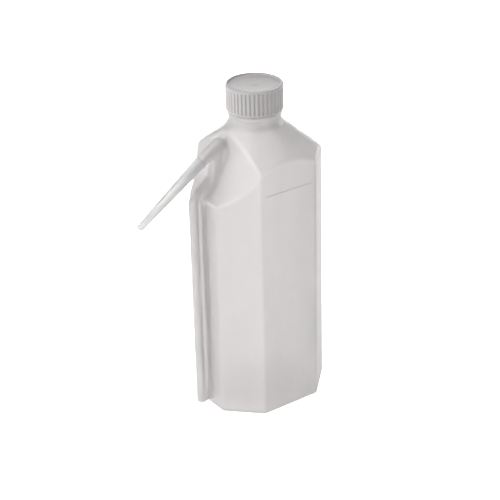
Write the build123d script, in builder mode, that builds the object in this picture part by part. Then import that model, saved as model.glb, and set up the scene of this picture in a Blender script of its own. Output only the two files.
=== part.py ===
from build123d import *
import os
from math import atan2, cos, degrees, hypot, pi, sin, sqrt, tan

os.makedirs("parts", exist_ok=True)

# Wash bottle, moulded in one piece with its riser tube and spout stub.
# Frame: origin at the centre of the base, on the neck axis; +Z up; the spout
# points towards -X; the broad faces look along -Y and +Y. Millimetres.

# ---- body ------------------------------------------------------------------
half_x = 36.9          # half the width between the two narrow faces
half_y = 30.55         # half the depth between the two broad faces
corner_cut = 18.1      # leg of the 45 degree corner faces
corner_r = 2.2         # rounding of the eight upright edges
base_r = 2.6           # rounding round the base
wall = 1.1             # moulded wall
push_up = 1.8          # height of the hollow under the base
foot_width = 5.5       # width of the standing rim round that hollow

# ---- shoulder --------------------------------------------------------------
cone_top = 183.58      # height at which the shoulder cone would meet the axis
cone_slope = 0.88      # fall of the shoulder per millimetre of radius
scoop_z = 133.0        # bottom of the scooped hollow, at the narrow face
scoop_x = -18.55       # where the scoop meets the cone
shoulder_r = 1.0       # rounding of the shoulder's edges

# ---- neck ------------------------------------------------------------------
neck_r = 12.55         # outside of the neck between the threads
neck_bore_r = 10.9
neck_root_r = 14.5
neck_root_z = 172.5
collar_r = 15.2        # bead below the cap
collar_z0 = 174.8
collar_z1 = 177.6
neck_top = 188.7
thread_pitch = 4.2
thread_crest_r = 13.6
neck_thread_z = 181.4  # centre of the thread's first turn at its start
neck_thread_turns = 1.3

# ---- riser tube and spout --------------------------------------------------
riser_x = -42.5        # axis of the riser, in the plane Y = 0
riser_r = 2.95
riser_bore_r = 1.9
riser_foot_z = 4.4      # its foot ends a little above the base
web_half = 2.0         # half the thickness of the web behind the upright riser
fold_half = 2.85       # half the thickness of the fin under the sloping riser and the spout
port_z = 7.6           # where the riser opens into the bottle
port_r = 1.3
tip = (-78.2, 127.25)  # centre of the jet's tip, as x, z
fall = 0.678           # slope of the spout
stub_end_s = 39.1      # distances along the spout from the tip
rim_s = 50.1
root_s = 64.0
stub_end_r = 2.28
stub_rim_r = 2.72
stub_shoulder_r = 3.36
stub_root_r = 3.75
stub_bore_r = 1.45

# ---- jet -------------------------------------------------------------------
jet_tip_r = 1.85
jet_rim_r = 3.5
orifice_r = 0.7
fit_gap = 0.06         # radial room between the jet and the stub

# ---- cap and liner ---------------------------------------------------------
cap_r = 16.0
cap_valley_r = 15.35
cap_bore_r = 14.0
cap_bottom = 178.0
cap_top = 192.6
rim_height = 0.7       # raised rim round the cap's recessed top
rim_inner_r = 14.55
rib_count = 42
rib_z0 = 180.5
rib_z1 = 191.3
cap_thread_r = 12.98
cap_thread_turns = 1.35
thread_offset = 1.66   # the cap's thread sits this far below the neck's
liner_r = 12.7
liner_t = 1.2

# ---- fill line -------------------------------------------------------------
fill_z = 139.0
fill_x0 = -15.4
fill_x1 = 15.5
fill_w = 0.45
fill_h = 0.25

u_len = hypot(1.0, fall)
ux, uz = 1.0 / u_len, fall / u_len     # unit vector up the spout, from its tip


def octagon(inset):
    """Corners of the body's section, every face moved in by inset."""
    a = half_x - inset
    b = half_y - inset
    c = corner_cut - inset * (2 - sqrt(2))
    return [
        (a, -(b - c)), (a, b - c), (a - c, b), (-(a - c), b),
        (-a, b - c), (-a, -(b - c)), (-(a - c), -b), (a - c, -b),
    ]


def scoop_profile(y, inset):
    """The scooped hollow's curve at one y, as x, z points, moved into the body by inset."""
    rise = cone_top - cone_slope * hypot(scoop_x, y) - scoop_z
    run = scoop_x + half_x
    power = 1.74 + 1.1 * (min(abs(y), 31.0) / 31.0) ** 3
    points = []
    for i in range(9):
        t = i / 8 * 1.06
        dx, dz = run, power * rise * t ** (power - 1)
        n = hypot(dx, dz)
        points.append(
            (-half_x + run * t + inset * dz / n, scoop_z + rise * t**power - inset * dx / n)
        )
    return points


def cone_z(r, inset=0.0):
    return cone_top - cone_slope * r - inset * sqrt(1 + cone_slope**2)


def spout_plane():
    """Sketch plane whose x runs up the spout from its tip."""
    return Plane(origin=(tip[0], 0, tip[1]), x_dir=(ux, 0, uz), z_dir=(0, -1, 0))


def spout_point(s, offset=0.0):
    return (tip[0] + ux * s - uz * offset, 0, tip[1] + uz * s + ux * offset)


def scoop_cut(inset):
    """Solid that takes away everything above the scooped hollow."""
    with BuildPart() as cut:
        for y in (-40, -26, -13, 0, 13, 26, 40):
            pts = scoop_profile(y, inset)
            with BuildSketch(Plane.XZ.offset(-y)):
                with BuildLine():
                    s = Spline(*pts)
                    Polyline(
                        pts[-1], (pts[-1][0], 205), (-50, 205), (-50, pts[0][1]), pts[0]
                    )
                make_face()
        loft()
    return cut.part


outer_scoop = scoop_cut(0.0)
inner_scoop = scoop_cut(wall)

# Inside of the bottle: the same form moved in by the wall.
with BuildPart() as cavity:
    with BuildSketch(Plane.XY.offset(wall)):
        Polygon(*octagon(wall), align=None)
        fillet(vertices(), corner_r - wall * 0.5)
    extrude(amount=178)
    fillet(edges().filter_by(Plane.XY).group_by(Axis.Z)[0], base_r - wall)
    with BuildSketch(Plane.XZ):
        with BuildLine():
            z_far = cone_z(50, wall)
            z_near = cone_z(neck_bore_r + 1.2, wall)
            Polyline(
                (0, 0), (50, 0), (50, z_far), (neck_bore_r + 1.2, z_near),
                (neck_bore_r, z_near + 1.6), (neck_bore_r, neck_top + 1), (0, neck_top + 1), (0, 0),
            )
        make_face()
    revolve(axis=Axis.Z, mode=Mode.INTERSECT)
    add(inner_scoop, mode=Mode.SUBTRACT)
    # floor raised in the middle, over the hollow under the base
    with BuildSketch(Plane.XY.offset(wall - 0.5)):
        Polygon(*octagon(foot_width - 0.9), align=None)
        fillet(vertices(), 3.0)
    with BuildSketch(Plane.XY.offset(wall + push_up)):
        Polygon(*octagon(foot_width + 2.6), align=None)
        fillet(vertices(), 3.0)
    loft(mode=Mode.SUBTRACT)
    # through the neck
    with BuildSketch(Plane.XY.offset(160)):
        Circle(neck_bore_r)
    extrude(amount=neck_top + 1 - 160)

# Riser's line in the plane Y = 0: up the narrow face, over the foot of the
# scoop, and along the hollow to the root of the spout.
riser_points = [
    (riser_x, 0, riser_foot_z),
    (riser_x, 0, 133.6),
    (-30.7, 0, 143.7),
    (-25.65, 0, 159.1),
]

with BuildPart() as riser_bore:
    with BuildLine() as bore_path:
        FilletPolyline(
            (riser_x, 0, port_z), *riser_points[1:], radius=[4.5, 9.0]
        )
    with BuildSketch(Plane.XY.offset(port_z)):
        with Locations((riser_x, 0)):
            Circle(riser_bore_r)
    sweep(path=bore_path.line)
    # from the fold down the spout
    with BuildSketch(spout_plane()):
        with BuildLine():
            Polyline(
                (stub_end_s - 1, 0), (root_s - 0.5, 0), (root_s - 0.5, riser_bore_r),
                (rim_s + 6, riser_bore_r), (rim_s, stub_bore_r), (stub_end_s - 1, stub_bore_r),
                (stub_end_s - 1, 0),
            )
        make_face()
    revolve(axis=Axis(spout_point(0), (ux, 0, uz)))
    # rounded foot of the bore, and the port into the bottle
    with Locations((riser_x, 0, port_z)):
        Sphere(riser_bore_r)
    with BuildSketch(Plane.YZ.offset(riser_x)):
        with Locations((0, port_z)):
            Circle(port_r)
    extrude(amount=-half_x + wall + 1.0 - riser_x)

with BuildPart() as bottle_body:
    with BuildSketch():
        Polygon(*octagon(0), align=None)
        fillet(vertices(), corner_r)
    extrude(amount=178)
    with BuildSketch(Plane.XZ):
        with BuildLine():
            Polyline(
                (0, -1), (60, -1), (60, cone_z(60)), (neck_root_r - 2, cone_z(neck_root_r - 2)),
                (0, cone_z(neck_root_r - 2)), (0, -1),
            )
        make_face()
    revolve(axis=Axis.Z, mode=Mode.INTERSECT)
    add(outer_scoop, mode=Mode.SUBTRACT)
    fillet(edges().filter_by(Plane.XY).group_by(Axis.Z)[0], base_r)
    fillet(
        edges().filter_by(
            lambda e: e.center().Z > 100 and e.geom_type in (GeomType.HYPERBOLA, GeomType.BSPLINE)
        ),
        shoulder_r,
    )

    # Riser tube with its rounded foot
    with BuildLine() as riser_path:
        FilletPolyline(*riser_points, radius=[4.5, 9.0])
    with BuildSketch(Plane.XY.offset(riser_foot_z)):
        with Locations((riser_x, 0)):
            Circle(riser_r)
    sweep(path=riser_path.line)
    # web between the riser and the narrow face
    with BuildSketch(Plane.XZ):
        with BuildLine():
            Polyline(
                (riser_x, 5.4), (-36, 5.4), (-36, 132.4), (-38.5, 134.5), (riser_x, 134.1),
                (riser_x, 5.4),
            )
        make_face()
    extrude(amount=web_half, both=True)
    # broad bridge round the port, at the foot
    with BuildSketch(Plane.XZ):
        with BuildLine():
            Polyline(
                (riser_x, 5.0), (-36, 5.0), (-36, 11.2), (-38.5, 10.8), (riser_x, 10.0), (riser_x, 5.0)
            )
        make_face()
    extrude(amount=2.6, both=True)

    # Spout stub: root, shoulder and the taper that the jet is pushed over
    with BuildSketch(spout_plane()):
        with BuildLine():
            Polyline(
                (stub_end_s, 0), (stub_end_s, stub_end_r - 0.3), (stub_end_s + 0.3, stub_end_r),
                (rim_s, stub_rim_r), (rim_s, stub_shoulder_r), (root_s, stub_root_r),
                (root_s, 0), (stub_end_s, 0),
            )
        make_face()
    revolve(axis=Axis(spout_point(0), (ux, 0, uz)))
    # rounded top of the fold, and the fin that fills it and backs the sloping riser
    with Locations(spout_point(root_s)):
        Sphere(stub_root_r)
    low = spout_point(56.5, -1.0)
    with BuildSketch(Plane.XZ):
        with BuildLine():
            Polyline(
                (low[0], low[2]), (-31.3, 149.8), (-32.2, 143.0), (-40.6, 135.7), (-37.0, 131.6),
                (-24.1, 145.5), (-20.6, 158.5), (-24.55, 165.5), (-28, 163.0), (low[0], low[2]),
            )
        make_face()
    extrude(amount=fold_half, both=True)

    # Neck: root, collar, sealing land and thread
    with BuildSketch(Plane.XZ):
        with BuildLine():
            z_join = cone_z(neck_root_r + 1.6)
            l1 = Line((0, 160), (neck_root_r + 1.6, 160))
            l2 = Line(l1 @ 1, (neck_root_r + 1.6, z_join))
            l3 = Spline(
                l2 @ 1, (neck_root_r, neck_root_z + 0.6),
                tangents=((-1, cone_slope), (0, 1)),
            )
            l4 = Polyline(
                l3 @ 1, (neck_root_r, collar_z0), (collar_r, collar_z0 + 0.35),
                (collar_r, collar_z1 - 0.3), (collar_r - 0.3, collar_z1),
                (neck_r, collar_z1), (neck_r, neck_top - 0.5), (neck_r - 0.5, neck_top),
                (0, neck_top), (0, 160),
            )
        make_face()
    revolve(axis=Axis.Z)
    with BuildLine() as neck_helix:
        Helix(
            pitch=thread_pitch, height=thread_pitch * neck_thread_turns, radius=neck_r,
            center=(0, 0, neck_thread_z),
        )
    with BuildSketch(Plane.XZ):
        with BuildLine():
            Polyline(
                (neck_r - 0.35, neck_thread_z - 1.27),
                (thread_crest_r, neck_thread_z - 0.55), (thread_crest_r, neck_thread_z + 0.55),
                (neck_r - 0.35, neck_thread_z + 1.27), (neck_r - 0.35, neck_thread_z - 1.27),
            )
        make_face()
    sweep(path=neck_helix.line, is_frenet=True)

    # hollow under the base
    with BuildSketch(Plane.XY):
        Polygon(*octagon(foot_width), align=None)
        fillet(vertices(), 3.0)
    with BuildSketch(Plane.XY.offset(push_up)):
        Polygon(*octagon(foot_width + 3.2), align=None)
        fillet(vertices(), 3.0)
    loft(mode=Mode.SUBTRACT)

    # inside
    add(cavity.part, mode=Mode.SUBTRACT)
    add(riser_bore.part, mode=Mode.SUBTRACT)

    # raised fill line on the front face
    with BuildSketch(Plane.XZ.offset(half_y - 0.2)):
        with Locations(((fill_x0 + fill_x1) / 2, fill_z)):
            SlotOverall(fill_x1 - fill_x0, fill_w)
    extrude(amount=0.2 + fill_h)

# Jet: a thin tapered tube, its wide end pushed over the stub
with BuildPart() as jet_nozzle:
    with BuildSketch(spout_plane()):
        with BuildLine():
            Polyline(
                (0, orifice_r), (0, jet_tip_r - 0.25), (0.3, jet_tip_r),
                (rim_s - 0.25, jet_rim_r), (rim_s - 0.1, jet_rim_r - 0.1),
                (rim_s - 0.1, stub_rim_r + fit_gap),
                (stub_end_s - 0.2, stub_end_r + fit_gap), (stub_end_s - 2.0, stub_bore_r + 0.35),
                (3.0, orifice_r + 0.1), (0, orifice_r),
            )
        make_face()
    revolve(axis=Axis(spout_point(0), (ux, 0, uz)))

# Cap: ribbed skirt, recessed top, one internal thread
with BuildPart() as screw_cap:
    with BuildSketch(Plane.XZ):
        with BuildLine():
            Polyline(
                (0, neck_top + liner_t), (cap_bore_r, neck_top + liner_t), (cap_bore_r, cap_bottom + 0.6),
                (cap_bore_r + 0.4, cap_bottom), (cap_r - 0.35, cap_bottom), (cap_r, cap_bottom + 0.35),
                (cap_r, cap_top - 1.0), (cap_r - 0.25, cap_top - 0.35), (cap_r - 0.75, cap_top),
                (rim_inner_r + 0.25, cap_top), (rim_inner_r, cap_top - rim_height),
                (0, cap_top - rim_height), (0, neck_top + liner_t),
            )
        make_face()
    revolve(axis=Axis.Z)
    # grip: upright grooves that run out near the bottom and under the top rim
    with BuildSketch(Plane.XY.offset(rib_z0)):
        with PolarLocations(cap_r, rib_count):
            Polygon(
                (-(cap_r - cap_valley_r), -0.32), (0.4, -0.85), (0.4, 0.85),
                (-(cap_r - cap_valley_r), 0.32), align=None,
            )
    extrude(amount=rib_z1 - rib_z0, mode=Mode.SUBTRACT)
    with BuildLine() as cap_helix:
        Helix(
            pitch=thread_pitch, height=thread_pitch * cap_thread_turns, radius=cap_bore_r,
            center=(0, 0, neck_thread_z - thread_offset),
        )
    with BuildSketch(Plane.XZ):
        with BuildLine():
            zc = neck_thread_z - thread_offset
            Polyline(
                (cap_bore_r + 0.35, zc - 1.15), (cap_thread_r, zc - 0.5),
                (cap_thread_r, zc + 0.5), (cap_bore_r + 0.35, zc + 1.15),
                (cap_bore_r + 0.35, zc - 1.15),
            )
        make_face()
    sweep(path=cap_helix.line, is_frenet=True)

# Liner: the sealing disc held inside the cap's top
with BuildPart() as cap_liner:
    with BuildSketch(Plane.XY.offset(neck_top)):
        Circle(liner_r)
    extrude(amount=liner_t)
    chamfer(edges().group_by(Axis.Z)[0], 0.2)

bottle_body.part.label = "bottle_body"
jet_nozzle.part.label = "jet_nozzle"
screw_cap.part.label = "screw_cap"
cap_liner.part.label = "cap_liner"

for name, piece in (
    ("bottle_body", bottle_body), ("jet_nozzle", jet_nozzle),
    ("screw_cap", screw_cap), ("cap_liner", cap_liner),
):
    print(name, len(piece.part.solids()), "solids", round(piece.part.volume, 1), "mm3",
          "valid" if piece.part.is_valid else "NOT VALID")
    export_step(piece.part, f"parts/{name}.step")

below = cavity.part & Pos(0, 0, fill_z / 2 - 50) * Box(200, 200, fill_z + 100)
print("inside up to the fill line:", round(below.volume / 1000, 1), "mL")
print("inside in all:", round(cavity.part.volume / 1000, 1), "mL")
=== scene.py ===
import math

import bpy
import numpy as np
from mathutils import Matrix, Vector


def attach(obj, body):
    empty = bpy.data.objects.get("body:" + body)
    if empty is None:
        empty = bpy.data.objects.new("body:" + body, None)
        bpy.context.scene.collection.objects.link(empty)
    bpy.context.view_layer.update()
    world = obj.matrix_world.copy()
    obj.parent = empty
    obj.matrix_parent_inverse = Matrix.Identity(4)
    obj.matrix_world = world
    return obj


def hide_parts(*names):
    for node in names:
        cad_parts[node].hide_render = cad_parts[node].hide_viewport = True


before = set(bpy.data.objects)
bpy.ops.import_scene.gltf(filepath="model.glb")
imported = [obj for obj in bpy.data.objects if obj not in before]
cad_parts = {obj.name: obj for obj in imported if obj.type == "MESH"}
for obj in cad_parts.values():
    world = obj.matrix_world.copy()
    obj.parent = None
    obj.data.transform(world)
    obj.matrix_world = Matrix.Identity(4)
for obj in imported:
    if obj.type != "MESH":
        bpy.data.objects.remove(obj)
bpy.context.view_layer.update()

MM = 0.001
RNG = np.random.default_rng(7)

# ---------------------------------------------------------------- dimensions
# The same as in the CAD model, in millimetres.
HX, HY, CUT, CORNER_R, BASE_R = 36.9, 30.55, 18.1, 2.2, 2.6
WALL = 1.3
PUSH, FOOT, FOOT_SLOPE = 1.8, 5.5, 3.2
CONE_TOP, CONE_SLOPE = 183.58, 0.88
SCOOP_Z, SCOOP_X = 133.0, -18.55
NECK_R, NECK_BORE, NECK_ROOT_R = 12.55, 10.9, 14.5
COLLAR_R, COLLAR_Z0, COLLAR_Z1, NECK_TOP = 15.2, 174.8, 177.6, 188.7
PITCH, CREST_R, THREAD_Z, TURNS = 4.2, 13.6, 181.4, 1.3
RX, RR, RBORE, RFOOT = -42.5, 2.95, 1.6, 4.4
TIP = (-78.2, 127.25)
FALL = 0.678
UX, UZ = 1 / math.hypot(1, FALL), FALL / math.hypot(1, FALL)
STUB_S, RIM_S, ROOT_S = 39.1, 50.1, 64.0
STUB_R, STUB_RIM_R, SHOULDER_R, ROOT_R, STUB_BORE = 2.28, 2.72, 3.36, 3.75, 1.45
JET_TIP_R, JET_RIM_R, ORIFICE = 1.85, 3.5, 0.7
CAP_R, CAP_VALLEY, CAP_BORE, CAP_Z0, CAP_Z1 = 16.0, 15.35, 14.0, 178.0, 192.6
RIM_H, RIM_IN, RIBS, RIB_Z0, RIB_Z1 = 0.7, 14.55, 42, 179.3, 191.4
CAP_THREAD_R, CAP_TURNS, THREAD_OFFSET = 12.98, 1.35, 1.66
LINER_R, LINER_T = 12.7, 1.2
FILL_Z, FILL_X0, FILL_X1, FILL_W, FILL_H = 139.0, -15.4, 15.5, 0.5, 0.25


# ------------------------------------------------------- distance functions
def r_min(a, b, r):
    """Union with a round fillet of radius r."""
    return np.maximum(r, np.minimum(a, b)) - np.hypot(np.maximum(r - a, 0), np.maximum(r - b, 0))


def r_max(a, b, r):
    """Intersection with a rounded edge of radius r."""
    return np.minimum(-r, np.maximum(a, b)) + np.hypot(np.maximum(r + a, 0), np.maximum(r + b, 0))


def s_max(a, b, k):
    h = np.clip(0.5 - 0.5 * (b - a) / k, 0, 1)
    return b * (1 - h) + a * h + k * h * (1 - h)


def smooth(t):
    t = np.clip(t, 0, 1)
    return t * t * (3 - 2 * t)


def poly_d(px, py, verts):
    """Signed distance to a simple polygon, negative inside."""
    d = np.full(px.shape, 1e9, px.dtype)
    s = np.ones(px.shape, px.dtype)
    n = len(verts)
    for i in range(n):
        ax, ay = verts[i]
        bx, by = verts[i - 1]
        ex, ey = bx - ax, by - ay
        wx, wy = px - ax, py - ay
        t = np.clip((wx * ex + wy * ey) / (ex * ex + ey * ey), 0, 1)
        dx, dy = wx - ex * t, wy - ey * t
        d = np.minimum(d, dx * dx + dy * dy)
        c1, c2, c3 = py >= ay, py < by, ex * wy > ey * wx
        flip = (c1 & c2 & c3) | (~c1 & ~c2 & ~c3)
        s = np.where(flip, -s, s)
    return s * np.sqrt(d)


def octagon_d(x, y, inset):
    """Distance to the body's eight-sided section, with rounded corners."""
    r = max(CORNER_R - inset * 0.45, 1.0)
    a, b = HX - inset - r, HY - inset - r
    k = (HX + HY - CUT) / math.sqrt(2) - inset - r
    ax, ay = np.abs(x), np.abs(y)
    f1, f2, f3 = ax - a, ay - b, (ax + ay) / math.sqrt(2) - k
    inner = np.maximum(np.maximum(f1, f2), f3)
    # outside: distance to the nearest of the three edges' segments
    ca, cb = k * math.sqrt(2) - a, k * math.sqrt(2) - b  # corner points (a, ca) and (cb, b)
    d1 = np.hypot(f1, np.maximum(ay - ca, 0))
    d2 = np.hypot(f2, np.maximum(ax - cb, 0))
    t = np.clip(((ax - a) * (cb - a) + (ay - ca) * (b - ca)) / ((cb - a) ** 2 + (b - ca) ** 2), 0, 1)
    d3 = np.hypot(ax - a - t * (cb - a), ay - ca - t * (b - ca))
    return np.where(inner < 0, inner, np.minimum(np.minimum(d1, d2), d3)) - r


def base_height(d2, lift):
    return PUSH * smooth((-d2 - FOOT + lift) / FOOT_SLOPE)


def scoop_d(x, y, z):
    """Distance above the scooped hollow on the spout's side."""
    ay = np.minimum(np.abs(y), 31.0)
    rise = CONE_TOP - CONE_SLOPE * np.hypot(SCOOP_X, ay) - SCOOP_Z
    t = np.clip((x + HX) / (SCOOP_X + HX), 1e-4, 1.6)
    p = 1.74 + 1.1 * (ay / 31.0) ** 3
    h = rise * t**p
    slope = np.where(x > -HX, p * rise * t ** (p - 1) / (SCOOP_X + HX), 0)
    return (z - SCOOP_Z - h) / np.sqrt(1 + slope * slope)


CONE_N = math.hypot(1, CONE_SLOPE)


def shell_d(x, y, z, inset):
    d2 = octagon_d(x, y, inset)
    lower = (base_height(d2 + inset, 0.6 if inset else 0.0) + inset - z)
    d = r_max(d2, lower, BASE_R if not inset else 1.6)
    cone = (z + CONE_SLOPE * np.hypot(x, y) - CONE_TOP) / CONE_N + inset
    d = r_max(d, cone, 1.0)
    return r_max(d, scoop_d(x, y, z) + inset, 1.15 if not inset else 0.9)


def bend(points, radii):
    """Straight runs and tangent arcs of a path in the plane Y = 0."""
    out = []
    start = np.array(points[0], float)
    for i, r in enumerate(radii):
        p, q, w = (np.array(points[j], float) for j in (i, i + 1, i + 2))
        u, v = (p - q) / np.linalg.norm(p - q), (w - q) / np.linalg.norm(w - q)
        half = math.acos(float(u @ v)) / 2
        run = r / math.tan(half)
        centre = q + (u + v) / np.linalg.norm(u + v) * r / math.sin(half)
        a, b = q + u * run, q + v * run
        out.append(("line", start, a))
        out.append(("arc", centre, a - centre, b - centre, r))
        start = b
    out.append(("line", start, np.array(points[-1], float)))
    return out


RISER = bend([(RX, RFOOT - 3), (RX, 133.6), (-30.7, 143.7), (-25.65, 159.1)], [4.5, 9.0])
BORE = bend([(RX, 7.6), (RX, 133.6), (-30.7, 143.7), (-25.65, 159.1)], [4.5, 9.0])


def path_d(path, x, y, z):
    """Distance to the centre line of a path in the plane Y = 0."""
    best = np.full(x.shape, 1e9, x.dtype)
    for seg in path:
        if seg[0] == "line":
            a, b = seg[1], seg[2]
            e = b - a
            t = np.clip(((x - a[0]) * e[0] + (z - a[1]) * e[1]) / (e @ e), 0, 1)
            dx, dz = x - a[0] - e[0] * t, z - a[1] - e[1] * t
            best = np.minimum(best, dx * dx + dz * dz)
        else:
            c, va, vb, r = seg[1:]
            m = va + vb
            m = m / np.linalg.norm(m)
            cos_half = float(va @ m) / r
            dx, dz = x - c[0], z - c[1]
            rho = np.hypot(dx, dz) + 1e-9
            inside = (dx * m[0] + dz * m[1]) / rho >= cos_half
            best = np.where(inside, np.minimum(best, (rho - r) ** 2), best)
    return np.sqrt(best + y * y)


def spout_sr(x, y, z):
    s = (x - TIP[0]) * UX + (z - TIP[1]) * UZ
    n = -(x - TIP[0]) * UZ + (z - TIP[1]) * UX
    return s, np.hypot(n, y)


def thread_d(x, y, z, r_root, r_crest, z0, turns, inward, half_root, half_crest):
    """A single-start helical ridge; z0 is its centre at angle 0."""
    ang = np.arctan2(y, x) % (2 * math.pi)
    best = np.full(x.shape, 1e9, x.dtype)
    for k in range(-1, int(turns) + 2):
        turn = ang / (2 * math.pi) + k
        fade = smooth(np.minimum(turn + 0.02, turns - turn + 0.02) * 12)
        rho = np.hypot(x, y)
        dz = np.abs(z - z0 - PITCH * turn)
        height = np.abs(r_crest - r_root) * fade
        if inward:
            h = r_root - rho
        else:
            h = rho - r_root
        width = half_root + (half_crest - half_root) * np.clip(h / abs(r_crest - r_root), -0.6, 1.2)
        d = r_max(h - height, (dz - width) * 0.82, 0.25)
        d = np.where((turn < -0.06) | (turn > turns + 0.06), 2.0, d)
        best = np.minimum(best, d)
    return best


def part_of(mask, f, x, y, z):
    """f at the masked points, and far outside everywhere else."""
    if mask.all():
        return f(x, y, z)
    out = np.full(x.shape, 50.0, x.dtype)
    out[mask] = f(x[mask], y[mask], z[mask])
    return out


def neck_root_d(x, y, z):
    return np.maximum(np.hypot(x, y) - NECK_ROOT_R, z - COLLAR_Z0 - 0.6)


def neck_d(x, y, z):
    """Collar, sealing land and thread."""
    rho = np.hypot(x, y)
    collar = poly_d(rho, z, [
        (0, COLLAR_Z0 + 0.45), (COLLAR_R - 0.55, COLLAR_Z0 + 0.45), (COLLAR_R - 0.55, COLLAR_Z1 - 0.5),
        (0, COLLAR_Z1 - 0.5),
    ]) - 0.5
    neck = r_max(rho - NECK_R, z - NECK_TOP, 0.45)
    thread = thread_d(x, y, z, NECK_R, CREST_R, THREAD_Z, TURNS, False, 1.15, 0.5)
    neck = r_min(neck, thread, 0.25)
    return r_min(collar, neck, 0.3)


LOW = (TIP[0] + UX * 56.5 + UZ * 1.0, TIP[1] + UZ * 56.5 - UX * 1.0)
FIN = [
    LOW, (-31.3, 149.8), (-32.2, 143.0), (-40.6, 135.7), (-37.0, 131.6), (-24.1, 145.5), (-20.6, 158.5),
    (-24.55, 165.5), (-28, 163.0),
]


def handle_d(x, y, z):
    """Riser tube, its web and foot, the fin and the spout's stub."""
    # riser tube, with a flat rounded foot
    tube = r_max(path_d(RISER, x, y, z) - RR, RFOOT - z, 0.6)
    # web behind it, and the bridge at its foot
    web = poly_d(x, z, [
        (RX, RFOOT + 1.0), (-35, RFOOT + 1.0), (-35, 131.0), (RX, 134.1),
    ])
    web = r_max(web, np.abs(y) - 2.1, 0.4)
    foot = poly_d(x, z, [
        (RX, RFOOT + 0.9), (-35, RFOOT + 0.9), (-35, 11.6), (RX, 10.0),
    ])
    foot = r_max(foot, np.abs(y) - 2.4, 0.9)
    tube = r_min(r_min(tube, web, 1.9), foot, 1.2)
    # spout root, stub and the fin between them
    s, n = spout_sr(x, y, z)
    stub = poly_d(s, n, [
        (STUB_S + 0.2, -1), (STUB_S + 0.2, STUB_R - 0.2), (RIM_S, STUB_RIM_R - 0.2), (RIM_S + 0.35, SHOULDER_R - 0.2),
        (ROOT_S, ROOT_R - 0.2), (ROOT_S, -1),
    ]) - 0.2
    cx, cz = TIP[0] + UX * ROOT_S, TIP[1] + UZ * ROOT_S
    ball = np.sqrt((x - cx) ** 2 + y * y + (z - cz) ** 2) - ROOT_R
    stub = np.minimum(stub, ball)
    fin = r_max(poly_d(x, z, FIN), np.abs(y) - 3.15, 1.2)
    spout = r_min(stub, fin, 1.6)
    return r_min(tube, spout, 1.8)


def outer_d(x, y, z):
    """The bottle as a solid form, before it is hollowed."""
    body = shell_d(x, y, z, 0.0)
    body = r_min(body, part_of(z > 160, neck_root_d, x, y, z), 1.9)
    d = np.minimum(body, part_of(z > COLLAR_Z0 - 4, neck_d, x, y, z))
    # fill line
    line = np.hypot(np.maximum(np.abs(x - (FILL_X0 + FILL_X1) / 2) - (FILL_X1 - FILL_X0) / 2, 0), z - FILL_Z)
    d = r_min(d, np.maximum(line - FILL_W / 2, np.abs(y + HY) - FILL_H), 0.12)
    near = (x < -12) & (np.abs(y) < 12)
    fillet = 2.0 + 0.4 * smooth((z - 130) / 12) + 1.1 * smooth((z - 150) / 8)
    return r_min(d, part_of(near, handle_d, x, y, z), fillet)


def passage_d(x, y, z):
    """Bore of the riser and the spout, and the port at its foot."""
    bore = path_d(BORE, x, y, z) - RBORE
    s, n = spout_sr(x, y, z)
    spout = poly_d(s, n, [
        (STUB_S - 2, -1), (STUB_S - 2, STUB_BORE), (RIM_S, STUB_BORE), (RIM_S + 6, 1.8), (ROOT_S - 0.5, 1.8),
        (ROOT_S - 0.5, -1),
    ])
    port = np.maximum(np.hypot(y, z - 7.6) - 1.3, np.maximum(RX - x, x + HX - WALL - 1.0))
    return np.minimum(np.minimum(bore, spout), port)


def void_d(x, y, z):
    """The space inside: bottle, neck, riser and spout."""
    cav = shell_d(x, y, z, WALL)
    neck = np.maximum(np.hypot(x, y) - NECK_BORE, 160 - z)
    cav = r_min(cav, neck, 1.2)
    return np.minimum(cav, part_of((x < -14) & (np.abs(y) < 9), passage_d, x, y, z))


def bottle_d(x, y, z):
    return s_max(outer_d(x, y, z), -void_d(x, y, z), 0.12)


# ------------------------------------------------------------ mesh extraction
def grid_line(stops):
    """Grid positions from a list of (position, step after it)."""
    out = []
    for (a, step), (b, _) in zip(stops[:-1], stops[1:]):
        n = max(1, round((b - a) / step))
        out.extend(a + (b - a) * i / n for i in range(n))
    out.append(stops[-1][0])
    return np.array(out, np.float32)


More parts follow.
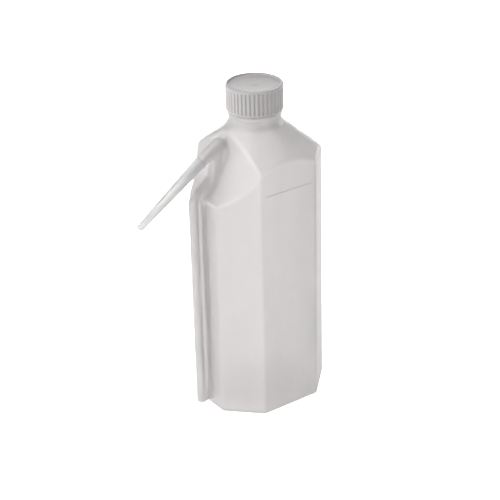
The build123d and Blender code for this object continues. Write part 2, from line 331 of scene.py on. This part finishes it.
def surface_net(f, xs, ys, zs):
    """Closed quad surface of f = 0 on a grid of uneven steps, one vertex in each crossed cell."""
    X, Y, Z = np.meshgrid(xs, ys, zs, indexing="ij")
    v = f(X, Y, Z).astype(np.float32)
    del X, Y, Z
    inside = v < 0
    nx, ny, nz = v.shape
    acc = np.zeros((nx - 1, ny - 1, nz - 1, 3), np.float32)
    cnt = np.zeros((nx - 1, ny - 1, nz - 1), np.float32)
    axes = (xs, ys, zs)
    crossed = []
    for ax in range(3):
        lo = [slice(None)] * 3
        hi = [slice(None)] * 3
        lo[ax], hi[ax] = slice(0, -1), slice(1, None)
        a, b = v[tuple(lo)], v[tuple(hi)]
        cr = inside[tuple(lo)] != inside[tuple(hi)]
        ii = np.argwhere(cr)
        t = a[cr] / (a[cr] - b[cr])
        pos = np.stack([axes[k][ii[:, k]] for k in range(3)], 1)
        pos[:, ax] += t * (axes[ax][ii[:, ax] + 1] - axes[ax][ii[:, ax]])
        u, w = [k for k in range(3) if k != ax]
        crossed.append((ax, u, w, ii, inside[tuple(lo)][cr]))
        for du in (0, 1):
            for dw in (0, 1):
                c = ii.copy()
                c[:, u] -= du
                c[:, w] -= dw
                ok = (c[:, u] >= 0) & (c[:, w] >= 0) & (c[:, u] < v.shape[u] - 1) & (c[:, w] < v.shape[w] - 1)
                np.add.at(acc, tuple(c[ok].T), pos[ok])
                np.add.at(cnt, tuple(c[ok].T), 1)
    ids = np.full(cnt.shape, -1, np.int64)
    used = cnt > 0
    ids[used] = np.arange(used.sum())
    verts = acc[used] / cnt[used][:, None]
    faces = []
    for ax, u, w, ii, start_in in crossed:
        ok = (ii[:, u] > 0) & (ii[:, w] > 0) & (ii[:, u] < v.shape[u] - 1) & (ii[:, w] < v.shape[w] - 1)
        ii, start_in = ii[ok], start_in[ok]
        corner = []
        for du, dw in ((1, 1), (0, 1), (0, 0), (1, 0)):
            c = ii.copy()
            c[:, u] -= du
            c[:, w] -= dw
            corner.append(ids[tuple(c.T)])
        q = np.stack(corner, 1)
        flip = start_in if ax != 1 else ~start_in
        q[~flip] = q[~flip][:, ::-1]
        faces.append(q)
    return verts.astype(np.float64), np.concatenate(faces)


def gradient(f, p, e=0.05):
    g = np.empty_like(p)
    for k in range(3):
        a, b = p.copy(), p.copy()
        a[:, k] += e
        b[:, k] -= e
        g[:, k] = (f(*a.T) - f(*b.T)) / (2 * e)
    return g


def settle(f, p, rounds=4, reach=0.35):
    """Moves vertices onto the surface f = 0."""
    for _ in range(rounds):
        g = gradient(f, p)
        d = f(*p.T)
        step = -d[:, None] * g / np.maximum((g * g).sum(1), 0.05)[:, None]
        n = np.linalg.norm(step, axis=1)
        step *= np.minimum(1, reach / np.maximum(n, 1e-9))[:, None]
        p = p + step
    g = gradient(f, p)
    return p, g / np.maximum(np.linalg.norm(g, axis=1), 1e-9)[:, None]


def mesh_object(name, verts_mm, faces, normals=None, smooth_faces=True):
    me = bpy.data.meshes.new(name)
    verts = np.asarray(verts_mm, np.float64) * MM
    if isinstance(faces, np.ndarray):
        n, k = faces.shape
        me.vertices.add(len(verts))
        me.vertices.foreach_set("co", verts.astype(np.float32).ravel())
        me.loops.add(n * k)
        me.loops.foreach_set("vertex_index", faces.astype(np.int32).ravel())
        me.polygons.add(n)
        me.polygons.foreach_set("loop_start", np.arange(0, n * k, k, dtype=np.int32))
        me.update(calc_edges=True)
    else:
        me.from_pydata([tuple(v) for v in verts], [], faces)
    me.validate()
    me.polygons.foreach_set("use_smooth", np.full(len(me.polygons), smooth_faces))
    if normals is not None and len(me.vertices) == len(normals):
        me.normals_split_custom_set_from_vertices([tuple(n) for n in normals])
    me.update()
    ob = bpy.data.objects.new(name, me)
    bpy.context.scene.collection.objects.link(ob)
    return ob


def add_attribute(ob, name, values):
    at = ob.data.attributes.new(name, "FLOAT", "POINT")
    at.data.foreach_set("value", np.asarray(values, np.float32))


def build_bottle():
    xs = grid_line([(-46.4, 0.45), (-33.8, 0.68), (38.2, 0)])
    half = grid_line([(0, 0.45), (4.05, 0.68), (31.8, 0)])
    ys = np.concatenate([-half[:0:-1], half]).astype(np.float32)
    zs = grid_line([
        (-0.9, 0.55), (6.2, 0.75), (13.0, 1.5), (17.5, 3.8), (120.0, 1.8), (126.0, 0.7), (138.45, 0.14),
        (139.6, 0.6), (146.0, 0.5), (159.0, 0.6), (172.0, 0.5), (189.5, 0),
    ])
    v, f = surface_net(bottle_d, xs, ys, zs)
    v, n = settle(bottle_d, v)
    ob = mesh_object("bottle_shell", v, f, n)
    if len(ob.data.vertices) == len(v):
        x, y, z = v.T
        # thick plastic: the fin scatters more; the tube and the spout's root are painted a little darker, as painted
        # shade on their thick plastic
        near = (x < -14) & (np.abs(y) < 12)
        fin = part_of(near, lambda a, b, c: r_max(poly_d(a, c, FIN), np.abs(b) - 3.15, 1.2), x, y, z)
        dense = np.clip(1 - (fin - 0.5) / 1.6, 0, 1)
        s, r = spout_sr(x, y, z)
        root = np.clip(1.5 - (r - 3.0) / 1.2, 0, 1) * smooth((70 - s) / 3)
        dense = dense * (1 - 0.8 * root)
        solid = np.clip(1 - part_of(near, handle_d, x, y, z) / 1.4, 0, 1)
        line = np.hypot(np.maximum(np.abs(x - (FILL_X0 + FILL_X1) / 2) - (FILL_X1 - FILL_X0) / 2, 0), z - FILL_Z)
        # painted shade: the fill line's raised ridge is darkened as if in its own shadow line
        mark_and_shade = np.clip(1.6 - line / 0.3, 0, 1) * (y < -HY + 0.6)
        # painted shade on the riser tube and the spout's root
        mark_and_shade = np.maximum(mark_and_shade, 0.08 * solid * (1 - dense))
        inner = (void_d(x, y, z) < 0.3).astype(np.float32)
        # painted highlight along the outward edges of the hollow, where the rounded edges catch the light; they are
        # also glossier there
        cone = (z + CONE_SLOPE * np.hypot(x, y) - CONE_TOP) / CONE_N
        wall = np.maximum(octagon_d(x, y, 0), cone)
        hollow = scoop_d(x, y, z)
        edge_highlight = smooth(1.0 - np.abs(wall - hollow) / 1.4) * (1 - smooth(np.maximum(wall, hollow) / 0.35))
        edge_highlight = edge_highlight * (z > 100) * (1 - dense) * (1 - inner) * smooth((16.5 - x) / 8)
        add_attribute(ob, "dense", dense)
        add_attribute(ob, "edge_highlight", edge_highlight)
        add_attribute(ob, "mark_and_shade", mark_and_shade)
        add_attribute(ob, "inner", inner)
    return ob


# ------------------------------------------------------ turned, ribbed pieces
def lathe(profile, steps, centre=(0, 0, 0), axis=(0, 0, 1), radius_of=None):
    """Closed ring of quads from a closed profile of (radius, height) points."""
    prof = np.array(profile, float)
    m = len(prof)
    th = np.arange(steps) / steps * 2 * math.pi
    r = np.repeat(prof[None, :, 0], steps, 0)
    h = np.repeat(prof[None, :, 1], steps, 0)
    if radius_of is not None:
        r = radius_of(r, h, th[:, None])
    x, y = r * np.cos(th)[:, None], r * np.sin(th)[:, None]
    pts = np.stack([x, y, h], -1).reshape(-1, 3)
    i = np.arange(steps)[:, None]
    j = np.arange(m)[None, :]
    i2, j2 = (i + 1) % steps, (j + 1) % m
    q = np.stack([i * m + j, i2 * m + j, i2 * m + j2, i * m + j2], -1).reshape(-1, 4)
    return pts, q


def rounded(points, radius, n=4):
    """A closed polygon with its listed corners rounded: radius is a list, 0 for a sharp one."""
    out = []
    m = len(points)
    for i in range(m):
        p, q, w = (np.array(points[k % m], float) for k in (i - 1, i, i + 1))
        r = radius[i]
        if r <= 0:
            out.append(tuple(q))
            continue
        u, v = (p - q) / np.linalg.norm(p - q), (w - q) / np.linalg.norm(w - q)
        c = np.clip(u @ v, -0.9999, 0.9999)
        half = math.acos(c) / 2
        run = min(r / math.tan(half), 0.48 * np.linalg.norm(p - q), 0.48 * np.linalg.norm(w - q))
        rr = run * math.tan(half)
        centre = q + (u + v) / np.linalg.norm(u + v) * rr / math.sin(half)
        a, b = q + u * run - centre, q + v * run - centre
        a0, b0 = math.atan2(a[1], a[0]), math.atan2(b[1], b[0])
        d = (b0 - a0 + math.pi) % (2 * math.pi) - math.pi
        out.extend(tuple(centre + rr * np.array([math.cos(a0 + d * k / n), math.sin(a0 + d * k / n)])) for k in range(n + 1))
    return out


def spaced(profile, step):
    """The same closed profile with points no further apart than step."""
    out = []
    m = len(profile)
    for i in range(m):
        a, b = np.array(profile[i]), np.array(profile[(i + 1) % m])
        n = max(1, math.ceil(np.linalg.norm(b - a) / step))
        out.extend(tuple(a + (b - a) * k / n) for k in range(n))
    return out


def auto_smooth(ob, angle=38):
    for p in ob.data.polygons:
        p.use_smooth = True
    bpy.context.view_layer.objects.active = ob
    ob.select_set(True)
    bpy.ops.object.shade_smooth_by_angle(angle=math.radians(angle))
    ob.select_set(False)
    return ob


def drop_inner_faces(pts, q):
    """Merges points that fall on the axis and drops quads with no area."""
    key = np.round(pts, 5)
    _, first, inv = np.unique(key, axis=0, return_index=True, return_inverse=True)
    inv = inv.ravel()
    new_pts = pts[first]
    faces = []
    for f in inv[q]:
        g = [int(f[0])]
        for k in f[1:]:
            if int(k) != g[-1]:
                g.append(int(k))
        if g[0] == g[-1]:
            g.pop()
        if len(g) >= 3:
            faces.append(tuple(g))
    return new_pts, faces


def build_cap():
    steps = RIBS * 12
    outer_top = CAP_Z1
    prof = [
        (0.0, NECK_TOP + LINER_T), (CAP_BORE, NECK_TOP + LINER_T), (CAP_BORE, CAP_Z0 + 0.6),
        (CAP_BORE + 0.4, CAP_Z0), (CAP_R, CAP_Z0), (CAP_R, outer_top),
        (RIM_IN + 0.1, outer_top), (RIM_IN - 0.15, outer_top - RIM_H), (0.0, outer_top - RIM_H + 0.0),
    ]
    prof = rounded(prof, [0, 0.35, 0, 0.2, 0.45, 0.95, 0.4, 0.45, 0], 5)
    # levels for the ribs and, inside, for the thread
    extra = []
    m = len(prof)
    for i in range(m):
        a, b = np.array(prof[i]), np.array(prof[(i + 1) % m])
        length = np.linalg.norm(b - a)
        if length < 1e-6:
            continue
        n = 1
        if abs(a[0] - b[0]) < 1e-6 and length > 3:
            n = max(1, round(length / (0.32 if a[0] < CAP_BORE + 0.1 else 0.4)))
        elif length > 3:
            n = max(1, round(length / 0.9))
        extra.extend(tuple(a + (b - a) * k / n) for k in range(n))
    prof = extra

    def radius_of(r, h, th):
        out = r.copy()
        # grip grooves between the ribs
        ph = (th * RIBS / (2 * math.pi)) % 1.0
        wave = np.abs(ph - 0.5) * 2  # 0 in the middle of a groove, 1 on a rib
        groove = 1 - smooth((wave - 0.22) / 0.42)
        ends = smooth((h - RIB_Z0 + 0.25) / 0.7) * smooth((RIB_Z1 - h + 0.35) / 0.7)
        skirt = (r > CAP_R - 0.9) & (h < CAP_Z1 - 0.05)
        out = np.where(skirt, r - (CAP_R - CAP_VALLEY) * groove * ends, out)
        # thread inside
        zc0 = THREAD_Z - THREAD_OFFSET
        best = np.zeros(out.shape)
        for k in range(0, 3):
            turn = (th % (2 * math.pi)) / (2 * math.pi) + k
            dz = np.abs(h - zc0 - PITCH * turn)
            fade = smooth(np.minimum(turn + 0.02, CAP_TURNS - turn + 0.02) * 12) * ((turn < CAP_TURNS + 0.04))
            best = np.maximum(best, fade * (1 - smooth((dz - 0.45) / 0.65)))
        bore = (np.abs(r - CAP_BORE) < 1e-3) & (h > CAP_Z0 + 0.3) & (h < NECK_TOP + 0.3)
        return np.where(bore, CAP_BORE - (CAP_BORE - CAP_THREAD_R) * best, out)

    pts, q = lathe(prof, steps, radius_of=radius_of)
    # a shallow dish and the small gate mark in the middle of the top
    rho = np.hypot(pts[:, 0], pts[:, 1])
    top = pts[:, 2] > CAP_Z1 - RIM_H - 0.3
    flat = top & (rho < RIM_IN - 0.4)
    ring = np.exp(-(((rho - 11.4) / 0.28) ** 2)) * 0.16
    gate = (1 - smooth((rho - 0.9) / 0.5)) * 0.22 - (1 - smooth((rho - 0.25) / 0.35)) * 0.14
    pts[flat, 2] += (ring + gate - 0.18 * (1 - (rho / RIM_IN) ** 2))[flat]
    pts, faces = drop_inner_faces(pts, q)
    ob = mesh_object("cap_ribbed", pts, faces)
    add_attribute(ob, "inner", (np.hypot(pts[:, 0], pts[:, 1]) < CAP_BORE + 0.2) & (pts[:, 2] < NECK_TOP + LINER_T + 0.05))
    return auto_smooth(ob, 42)


def build_liner():
    prof = rounded([(0, NECK_TOP), (LINER_R, NECK_TOP), (LINER_R, NECK_TOP + LINER_T), (0, NECK_TOP + LINER_T)], [0, 0.35, 0.2, 0], 4)
    prof = spaced(prof, 0.8)
    pts, q = lathe(prof, 128)
    rho = np.hypot(pts[:, 0], pts[:, 1])
    # the ring that the neck's rim has pressed into the disc
    low = pts[:, 2] < NECK_TOP + 0.4
    press = np.exp(-(((rho - 11.7) / 0.75) ** 2)) * 0.09
    pts[low, 2] += press[low] - 0.0
    pts, faces = drop_inner_faces(pts, q)
    return auto_smooth(mesh_object("liner_disc", pts, faces), 40)


def build_jet():
    lip = 0.35
    prof = [
        (ORIFICE, 0.0), (JET_TIP_R, 0.0), (JET_TIP_R + 0.02, 1.0), (JET_RIM_R, RIM_S - 0.1),
        (STUB_RIM_R + 0.06, RIM_S - 0.1), (STUB_R + 0.06, STUB_S - 0.2), (STUB_BORE + 0.35, STUB_S - 2.0),
        (ORIFICE + 0.1, 3.0),
    ]
    prof = rounded(prof, [0.25, 1.05, 0, 0.3, 0.2, 0, 0, 0], 6)
    prof = spaced(prof, 1.6)
    pts, q = lathe(prof, 72)
    # along the spout's own axis
    x, y, s = pts.T
    # local x points up out of the spout's top side, local y along world Y
    world = np.stack([TIP[0] + UX * s - UZ * x, y, TIP[1] + UZ * s + UX * x], 1)
    q = q[:, ::-1]
    ob = mesh_object("jet_tube", world, q)
    # thick where it grips the stub, and a darker ring round the tip
    add_attribute(ob, "dense", smooth((s - STUB_S + 0.9) / 0.9))
    add_attribute(ob, "mark_and_shade", 0.55 * (1 - smooth((s - 0.7) / 0.9)))
    return auto_smooth(ob, 35)


# ------------------------------------------------------------------ materials
def new_material(name):
    m = bpy.data.materials.new(name)
    m.use_nodes = True
    nt = m.node_tree
    nt.nodes.clear()
    out = nt.nodes.new("ShaderNodeOutputMaterial")
    return m, nt, out


def node(nt, kind, **inputs):
    n = nt.nodes.new(kind)
    for k, v in inputs.items():
        if k in n.inputs:
            n.inputs[k].default_value = v
        else:
            setattr(n, k, v)
    return n


def lin(c):
    """sRGB 0-255 to linear."""
    out = []
    for v in c:
        v /= 255
        out.append(v / 12.92 if v <= 0.04045 else ((v + 0.055) / 1.055) ** 2.4)
    return (*out, 1.0)


def noise(nt, scale, detail=3.0, rough=0.5, vector=None, stretch=None):
    n = node(nt, "ShaderNodeTexNoise", Scale=scale, Detail=detail, Roughness=rough)
    if stretch is not None:
        mp = nt.nodes.new("ShaderNodeMapping")
        mp.inputs["Scale"].default_value = stretch
        nt.links.new(vector, mp.inputs["Vector"])
        nt.links.new(mp.outputs["Vector"], n.inputs["Vector"])
    elif vector is not None:
        nt.links.new(vector, n.inputs["Vector"])
    return n


def ramp(nt, fac, stops):
    r = nt.nodes.new("ShaderNodeValToRGB")
    els = r.color_ramp.elements
    els[0].position, els[0].color = stops[0]
    els[1].position, els[1].color = stops[-1]
    for pos, col in stops[1:-1]:
        e = els.new(pos)
        e.color = col
    nt.links.new(fac, r.inputs["Fac"])
    return r


def mix_color(nt, fac, a, b, kind="MIX"):
    m = nt.nodes.new("ShaderNodeMix")
    m.data_type = "RGBA"
    m.blend_type = kind
    for v, s in ((fac, m.inputs["Factor"]), (a, m.inputs["A"]), (b, m.inputs["B"])):
        pass
    socks = {"Factor": m.inputs[0], "A": m.inputs[6], "B": m.inputs[7]}
    for key, v in (("Factor", fac), ("A", a), ("B", b)):
        if isinstance(v, bpy.types.NodeSocket):
            nt.links.new(v, socks[key])
        else:
            socks[key].default_value = v
    return m.outputs[2]


def attribute(nt, name):
    a = nt.nodes.new("ShaderNodeAttribute")
    a.attribute_name = name
    return a.outputs["Fac"]


def ldpe(name, base, dark, light, rough, sss, through, thick_share, thick_tint=0.985, bump=0.25):
    """Natural polyethylene: milky, faintly cloudy, satin, with fine moulding grain."""
    m, nt, out = new_material(name)
    coord = nt.nodes.new("ShaderNodeTexCoord").outputs["Object"]
    cloud = noise(nt, 38.0, 3.0, 0.55, coord)
    flow = noise(nt, 1.0, 2.0, 0.5, coord, stretch=(120, 120, 18))
    grain = noise(nt, 2600.0, 2.0, 0.5, coord)
    soft = noise(nt, 420.0, 2.0, 0.5, coord)
    col = ramp(nt, cloud.outputs["Fac"], [(0.25, dark), (0.5, base), (0.78, light)]).outputs["Color"]
    tint = ramp(nt, flow.outputs["Fac"], [(0.3, (0.965, 0.965, 0.968, 1)), (0.7, (1, 1, 1, 1))]).outputs["Color"]
    col = mix_color(nt, 1.0, col, tint, "MULTIPLY")
    bs = node(nt, "ShaderNodeBsdfPrincipled")
    col = mix_color(nt, attribute(nt, "dense"), col, mix_color(nt, 1.0, col, (thick_tint, thick_tint, thick_tint, 1), "MULTIPLY"))
    # painted shade: darkens the bottle's fill line and riser tube, and the ring round the jet's tip
    col = mix_color(nt, attribute(nt, "mark_and_shade"), col, mix_color(nt, 1.0, col, (0.74, 0.74, 0.75, 1), "MULTIPLY"))
    edge_highlight = attribute(nt, "edge_highlight")
    # painted highlight: the colour is lightened along the hollow's outward edges
    col = mix_color(nt, edge_highlight, col, (0.995, 0.977, 0.971, 1))
    thin = nt.nodes.new("ShaderNodeMapRange")
    thin.inputs["To Min"].default_value = through
    thin.inputs["To Max"].default_value = through * thick_share
    nt.links.new(attribute(nt, "dense"), thin.inputs["Value"])
    nt.links.new(thin.outputs["Result"], bs.inputs["Transmission Weight"])
    nt.links.new(col, bs.inputs["Base Color"])
    bs.inputs["IOR"].default_value = 1.51
    bs.inputs["Subsurface Weight"].default_value = sss
    bs.inputs["Subsurface Radius"].default_value = (1.0, 1.0, 1.0)
    bs.inputs["Subsurface Scale"].default_value = 0.004
    rr = nt.nodes.new("ShaderNodeMapRange")
    rr.inputs["To Min"].default_value = rough - 0.05
    rr.inputs["To Max"].default_value = rough + 0.07
    nt.links.new(soft.outputs["Fac"], rr.inputs["Value"])
    worn = nt.nodes.new("ShaderNodeMapRange")
    worn.inputs["To Min"].default_value = 1.0
    worn.inputs["To Max"].default_value = 0.72
    nt.links.new(edge_highlight, worn.inputs["Value"])
    gloss = node(nt, "ShaderNodeMath", operation="MULTIPLY")
    nt.links.new(rr.outputs["Result"], gloss.inputs[0])
    nt.links.new(worn.outputs["Result"], gloss.inputs[1])
    nt.links.new(gloss.outputs[0], bs.inputs["Roughness"])
    b1 = node(nt, "ShaderNodeBump", Strength=bump * 0.5, Distance=0.00005)
    nt.links.new(grain.outputs["Fac"], b1.inputs["Height"])
    b2 = node(nt, "ShaderNodeBump", Strength=bump, Distance=0.0002)
    nt.links.new(soft.outputs["Fac"], b2.inputs["Height"])
    nt.links.new(b1.outputs["Normal"], b2.inputs["Normal"])
    nt.links.new(b2.outputs["Normal"], bs.inputs["Normal"])
    nt.links.new(bs.outputs[0], out.inputs["Surface"])
    return m


def cap_plastic():
    """Opaque white polypropylene, satin, fine spark-eroded texture."""
    m, nt, out = new_material("cap_polypropylene")
    coord = nt.nodes.new("ShaderNodeTexCoord").outputs["Object"]
    big = noise(nt, 60.0, 3.0, 0.5, coord)
    grain = noise(nt, 1700.0, 2.0, 0.6, coord)
    col = ramp(nt, big.outputs["Fac"], [(0.3, (0.482, 0.463, 0.464, 1)), (0.7, (0.515, 0.496, 0.497, 1))]).outputs["Color"]
    bs = node(nt, "ShaderNodeBsdfPrincipled")
    nt.links.new(col, bs.inputs["Base Color"])
    bs.inputs["IOR"].default_value = 1.49
    bs.inputs["Subsurface Weight"].default_value = 0.15
    bs.inputs["Subsurface Radius"].default_value = (1.0, 0.9, 0.85)
    bs.inputs["Subsurface Scale"].default_value = 0.001
    rr = nt.nodes.new("ShaderNodeMapRange")
    rr.inputs["To Min"].default_value = 0.38
    rr.inputs["To Max"].default_value = 0.52
    nt.links.new(grain.outputs["Fac"], rr.inputs["Value"])
    nt.links.new(rr.outputs["Result"], bs.inputs["Roughness"])
    b1 = node(nt, "ShaderNodeBump", Strength=0.2, Distance=0.00006)
    nt.links.new(grain.outputs["Fac"], b1.inputs["Height"])
    nt.links.new(b1.outputs["Normal"], bs.inputs["Normal"])
    nt.links.new(bs.outputs[0], out.inputs["Surface"])
    return m


def liner_foam():
    m, nt, out = new_material("liner_foam")
    coord = nt.nodes.new("ShaderNodeTexCoord").outputs["Object"]
    vor = node(nt, "ShaderNodeTexVoronoi", Scale=1900.0)
    nt.links.new(coord, vor.inputs["Vector"])
    col = ramp(nt, vor.outputs["Distance"], [(0.0, (0.80, 0.80, 0.78, 1)), (0.7, (0.88, 0.88, 0.865, 1))]).outputs["Color"]
    bs = node(nt, "ShaderNodeBsdfPrincipled")
    nt.links.new(col, bs.inputs["Base Color"])
    bs.inputs["Roughness"].default_value = 0.75
    b1 = node(nt, "ShaderNodeBump", Strength=0.35, Distance=0.0001)
    nt.links.new(vor.outputs["Distance"], b1.inputs["Height"])
    nt.links.new(b1.outputs["Normal"], bs.inputs["Normal"])
    nt.links.new(bs.outputs[0], out.inputs["Surface"])
    return m


FLOOR_GLOW = 0.6
FLOOR_FILL = 0.65


def floor_material():
    m, nt, out = new_material("studio_floor")
    coord = nt.nodes.new("ShaderNodeTexCoord").outputs["Object"]
    n = noise(nt, 3.0, 2.0, 0.5, coord)
    col = ramp(nt, n.outputs["Fac"], [(0.3, (0.93, 0.93, 0.93, 1)), (0.7, (0.95, 0.95, 0.95, 1))]).outputs["Color"]
    bs = node(nt, "ShaderNodeBsdfPrincipled", Roughness=0.9)
    bs.inputs["Specular IOR Level"].default_value = 0.1
    nt.links.new(col, bs.inputs["Base Color"])
    # overexposed sweep: seen by the camera it stays white, with only a trace of shadow
    glow = node(nt, "ShaderNodeEmission", Color=(1, 1, 1, 1))
    path = nt.nodes.new("ShaderNodeLightPath")
    scale = node(nt, "ShaderNodeMath", operation="MULTIPLY_ADD")
    scale.inputs[1].default_value = FLOOR_GLOW
    scale.inputs[2].default_value = FLOOR_FILL
    nt.links.new(path.outputs["Is Camera Ray"], scale.inputs[0])
    nt.links.new(scale.outputs[0], glow.inputs["Strength"])
    both = nt.nodes.new("ShaderNodeAddShader")
    nt.links.new(bs.outputs[0], both.inputs[0])
    nt.links.new(glow.outputs[0], both.inputs[1])
    nt.links.new(both.outputs[0], out.inputs["Surface"])
    return m


# --------------------------------------------------------------------- pieces
bottle = build_bottle()
bottle.data.materials.append(ldpe(
    "bottle_ldpe", (0.915, 0.89, 0.883, 1), (0.905, 0.88, 0.872, 1), (0.925, 0.901, 0.895, 1), 0.4, 1.0, 0.64, 0.35))
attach(bottle, "bottle")
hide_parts("bottle_body")

jet = build_jet()
jet.data.materials.append(ldpe(
    "jet_ldpe", (0.905, 0.9, 0.896, 1), (0.89, 0.885, 0.881, 1), (0.92, 0.915, 0.911, 1), 0.32, 1.0, 0.75, 0.12,
    thick_tint=1.0, bump=0.15))
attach(jet, "jet")
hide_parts("jet_nozzle")

cap = build_cap()
cap.data.materials.append(cap_plastic())
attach(cap, "cap")
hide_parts("screw_cap")

liner = build_liner()
liner.data.materials.append(liner_foam())
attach(liner, "liner")
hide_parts("cap_liner")

# ---------------------------------------------------------------------- stage
size = 6.0
me = bpy.data.meshes.new("floor")
me.from_pydata([(-size, -size, 0), (size, -size, 0), (size, size, 0), (-size, size, 0)], [], [(0, 1, 2, 3)])
floor = bpy.data.objects.new("floor", me)
floor.location.z = -0.0003
bpy.context.scene.collection.objects.link(floor)
floor.data.materials.append(floor_material())

world = bpy.data.worlds.new("studio")
bpy.context.scene.world = world
world.use_nodes = True
bg = world.node_tree.nodes["Background"]
bg.inputs["Color"].default_value = (1, 1, 1, 1)
bg.inputs["Strength"].default_value = 0.08


def softbox(name, where, at, width, height, power, color=(1, 1, 1)):
    light = bpy.data.lights.new(name, "AREA")
    light.shape = "RECTANGLE"
    light.size, light.size_y = width, height
    light.energy = power
    light.color = color
    ob = bpy.data.objects.new(name, light)
    ob.location = where
    ob.rotation_euler = (Vector(at) - Vector(where)).to_track_quat("-Z", "Y").to_euler()
    bpy.context.scene.collection.objects.link(ob)
    return ob


softbox("key_left", (-1.13, 0.39, 1.44), (0, 0, 0.1), 1.9, 1.9, 32.0)
softbox("behind", (0.79, 1.21, 0.23), (0, 0, 0.1), 1.0, 0.44, 16.0)
softbox("behind_right", (1.42, 0.1, 0.30), (0, 0, 0.1), 0.8, 0.6, 5.5)
softbox("left_low", (-1.5, 0.12, 0.60), (0, 0, 0.12), 0.65, 0.65, 2.2)
softbox("overhead", (0.26, -0.55, 1.31), (0, 0, 0.15), 0.5, 0.5, 2.8)

# --------------------------------------------------------------------- camera
cam_data = bpy.data.cameras.new("camera")
cam = bpy.data.objects.new("camera", cam_data)
bpy.context.scene.collection.objects.link(cam)
cam_data.sensor_width = 36.0
cam_data.lens = 1600.0 * 1.0085 / 500 * 36.0
cam_data.clip_start, cam_data.clip_end = 0.05, 30
right = Vector((0.81327461, -0.58143, -0.02288173))
up = Vector((0.28358131, 0.36170796, 0.88811542))
back = Vector((-0.50810044, -0.72877055, 0.45905058))
rot = Matrix((right, up, back)).transposed()
where = Vector((-0.47494978, -0.67311026, 0.51549948)) - right * -0.00004 + up * 0.00003
cam.matrix_world = Matrix.Translation(where) @ rot.to_4x4()
bpy.context.scene.camera = cam

vs = bpy.context.scene.view_settings
vs.view_transform = "Standard"
vs.look = "None"
